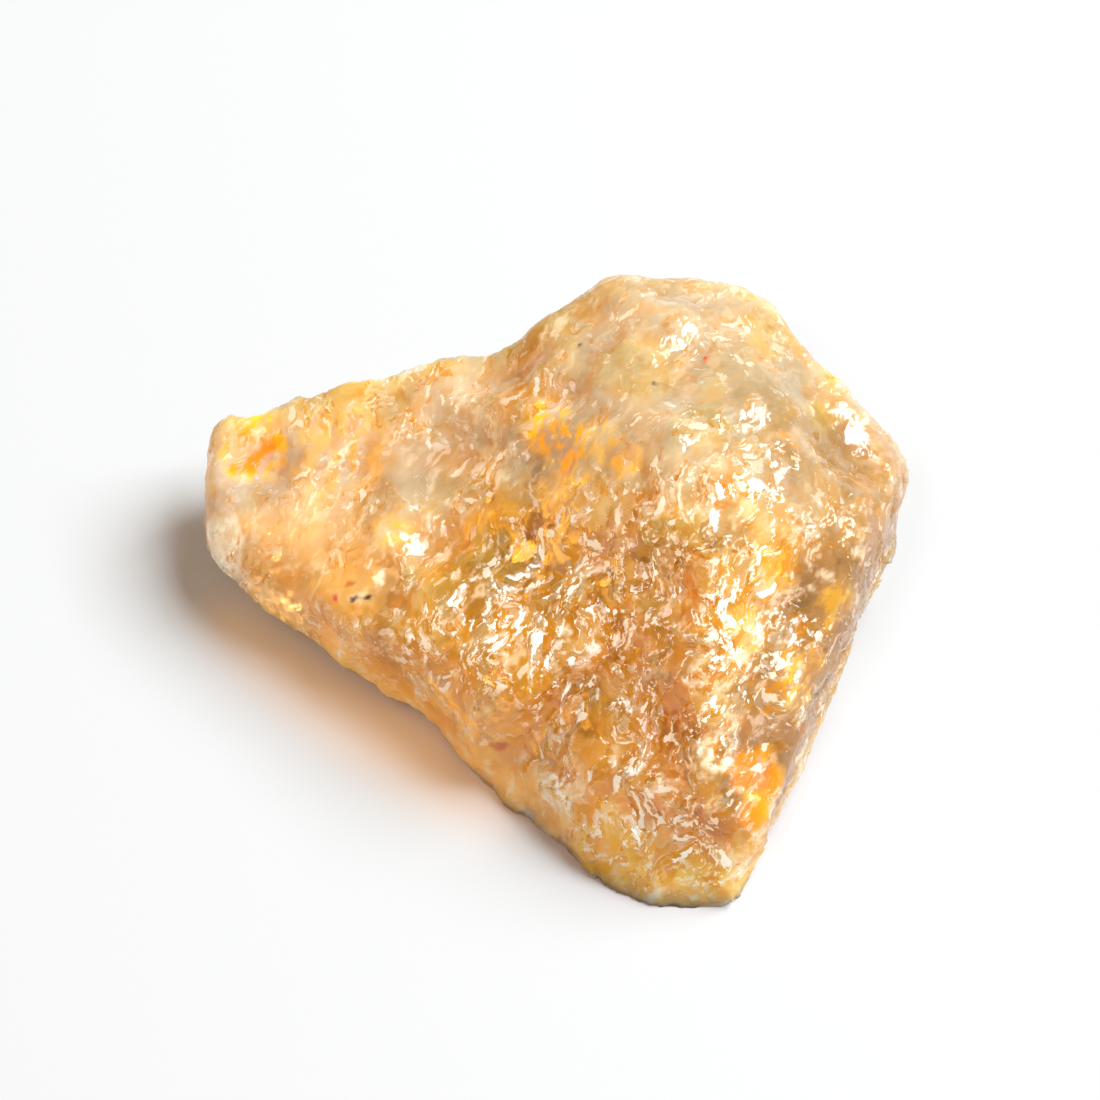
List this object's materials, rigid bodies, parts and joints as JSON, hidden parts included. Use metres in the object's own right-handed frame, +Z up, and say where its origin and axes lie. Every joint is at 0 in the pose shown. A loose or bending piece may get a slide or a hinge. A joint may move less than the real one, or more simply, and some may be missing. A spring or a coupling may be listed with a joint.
{
  "type": "rough gemstone",
  "caption": "Rough chrysoberyl crystal: a worn, honey-yellow, cloudy-clear stone with a high crown, a blunt foot and a low arm.",
  "frame": {"origin": "on the plane of the flat resting face, below the middle of the bounding box", "axes": "+Z up from the resting face; +X along the stone's length, away from the low arm; -Y towards the blunt foot"},
  "size_m": [0.0282, 0.0242, 0.0114],
  "materials": {
    "chrysoberyl": "vitreous broken faces with worn, frosted edges; honey yellow, cloudy and partly see-through, with orange iron stains"
  },
  "bodies": {
    "root": {"chrysoberyl_stone": "chrysoberyl"}
  },
  "joints": []
}
